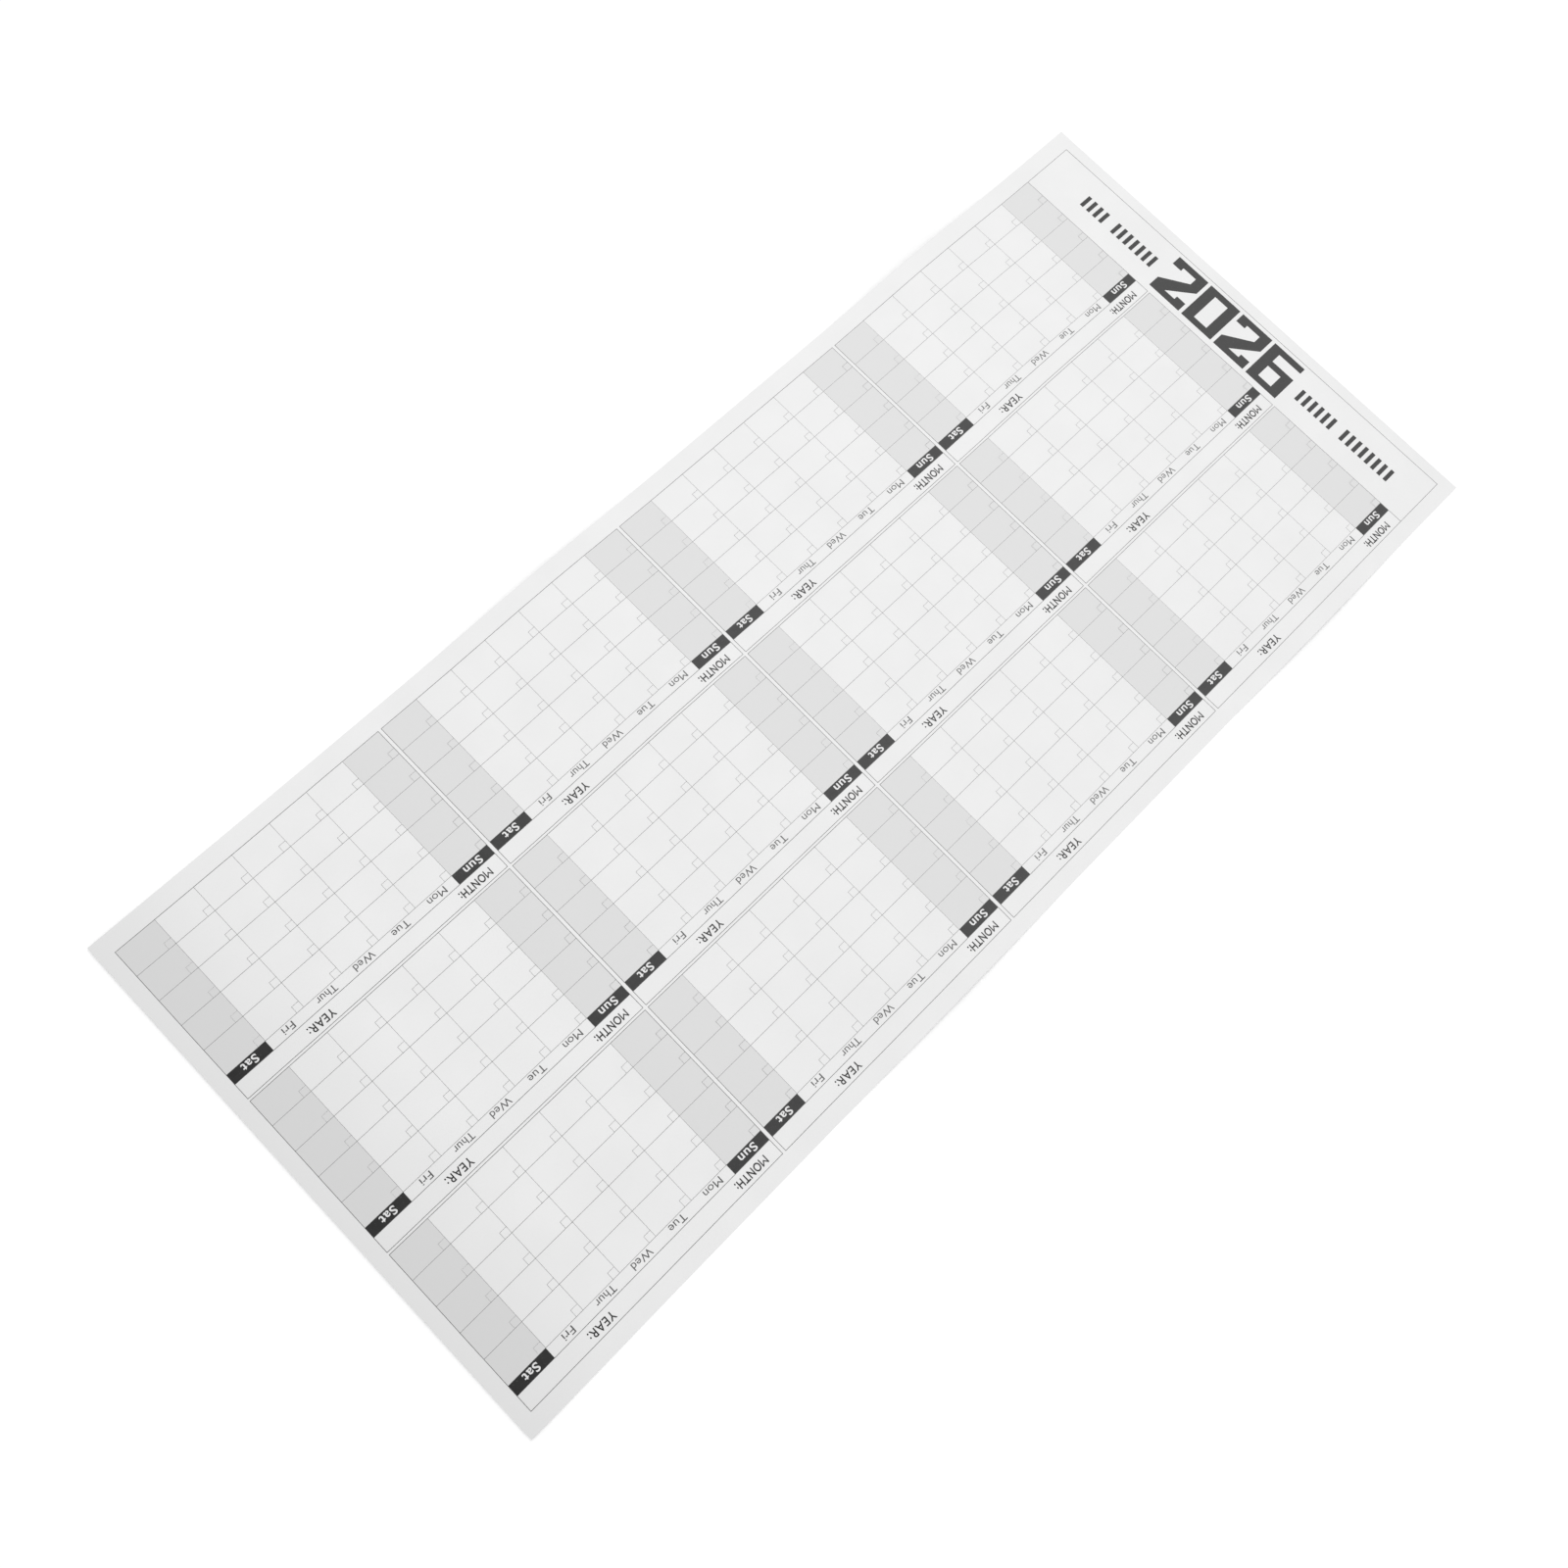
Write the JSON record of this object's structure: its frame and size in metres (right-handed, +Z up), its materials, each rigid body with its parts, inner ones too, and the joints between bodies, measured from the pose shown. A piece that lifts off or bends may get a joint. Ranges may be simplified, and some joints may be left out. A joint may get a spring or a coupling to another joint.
{
  "type": "wall calendar",
  "caption": "Long printed year-planner sheet of paper with month blocks, ruled day cells, shaded weekends and year numerals.",
  "frame": {"origin": "under the middle of the sheet, on the surface that it lies on", "axes": "+X along the long side in the reading direction, away from the title strip; +Y up the page; +Z up, out of the printed face"},
  "size_m": [0.86, 0.38, 0.0036],
  "materials": {
    "paper": "smooth uncoated white paper",
    "hairline_ink": "grey ink on paper",
    "pale_ink": "light grey ink on paper",
    "dark_ink": "dark grey ink on paper"
  },
  "bodies": {
    "root": {"sheet": "paper", "title_frame": "hairline_ink", "month_frames": "hairline_ink", "day_rules": "hairline_ink", "weekend_fields": "pale_ink", "weekend_headings": "dark_ink", "year_numerals": "dark_ink", "title_bars": "dark_ink"}
  },
  "joints": []
}
